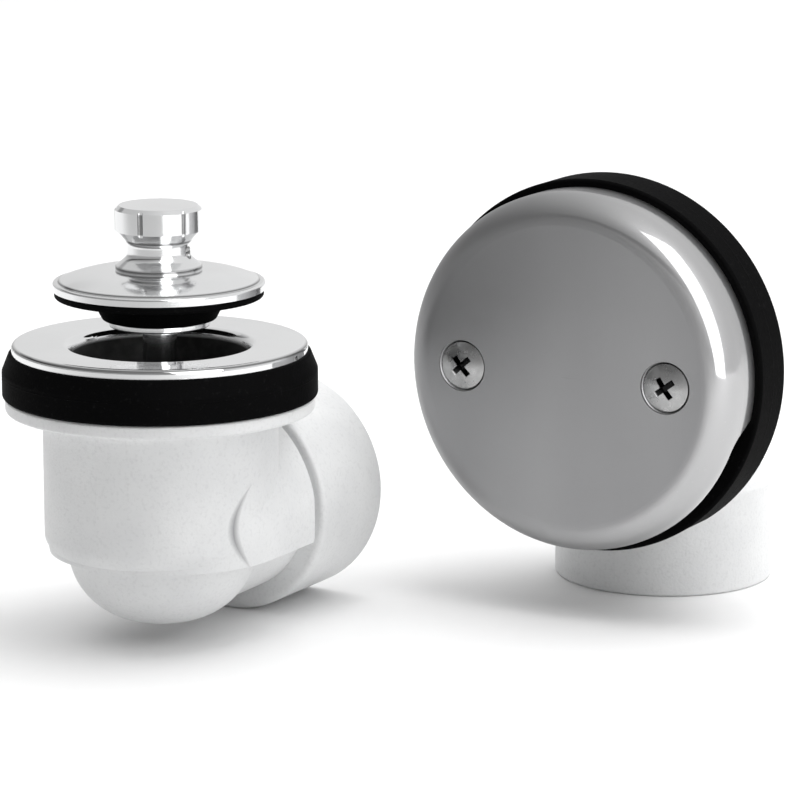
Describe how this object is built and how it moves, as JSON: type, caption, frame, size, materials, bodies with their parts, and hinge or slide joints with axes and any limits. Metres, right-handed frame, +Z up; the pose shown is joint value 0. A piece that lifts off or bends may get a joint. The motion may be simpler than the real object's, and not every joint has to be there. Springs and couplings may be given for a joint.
{
  "type": "bath waste and overflow",
  "caption": "Bath waste shoe with a chromed strainer and lift-and-turn stopper, beside an overflow elbow with a chromed faceplate on a rubber gasket.",
  "frame": {"origin": "floor level under the middle of the whole set's box", "axes": "+Z up, +Y from the faceplate's front towards the elbow and out of the waste outlet, +X from the waste to the overflow"},
  "size_m": [0.167, 0.1893, 0.1113],
  "materials": {
    "white_pvc": "moulded, softly glossy",
    "black_rubber": "moulded, matt",
    "chrome_plate": "polished plating",
    "plain_brass": "turned",
    "plain_steel": "bright plated"
  },
  "bodies": {
    "fixed_set": {"waste_shoe": "white_pvc", "overflow_elbow": "white_pvc", "shoe_gasket": "black_rubber", "overflow_gasket": "black_rubber", "post_o_ring": "black_rubber", "strainer_body": "chrome_plate", "stopper_post": "chrome_plate", "overflow_faceplate": "chrome_plate", "screw_insert_left": "plain_brass", "screw_insert_right": "plain_brass", "cross_pin": "plain_steel", "faceplate_screw_left": "plain_steel", "faceplate_screw_right": "plain_steel"},
    "sleeve": {"lift_sleeve": "chrome_plate"},
    "stopper": {"stopper_knob": "chrome_plate", "knob_set_screw": "plain_steel", "stopper_disc": "chrome_plate", "stopper_seal": "black_rubber", "seal_retainer": "chrome_plate"}
  },
  "joints": [
    {"name": "stopper_lift", "type": "slide", "parent": "fixed_set", "child": "sleeve", "axis": [0, 0, 1], "range_m": [-0.011, 0]},
    {"name": "stopper_turn", "type": "hinge", "parent": "sleeve", "child": "stopper", "pos_m": [-0.0445, -0.05565, 0.0866], "axis": [0, 0, 1], "range_deg": [-90, 0]}
  ]
}
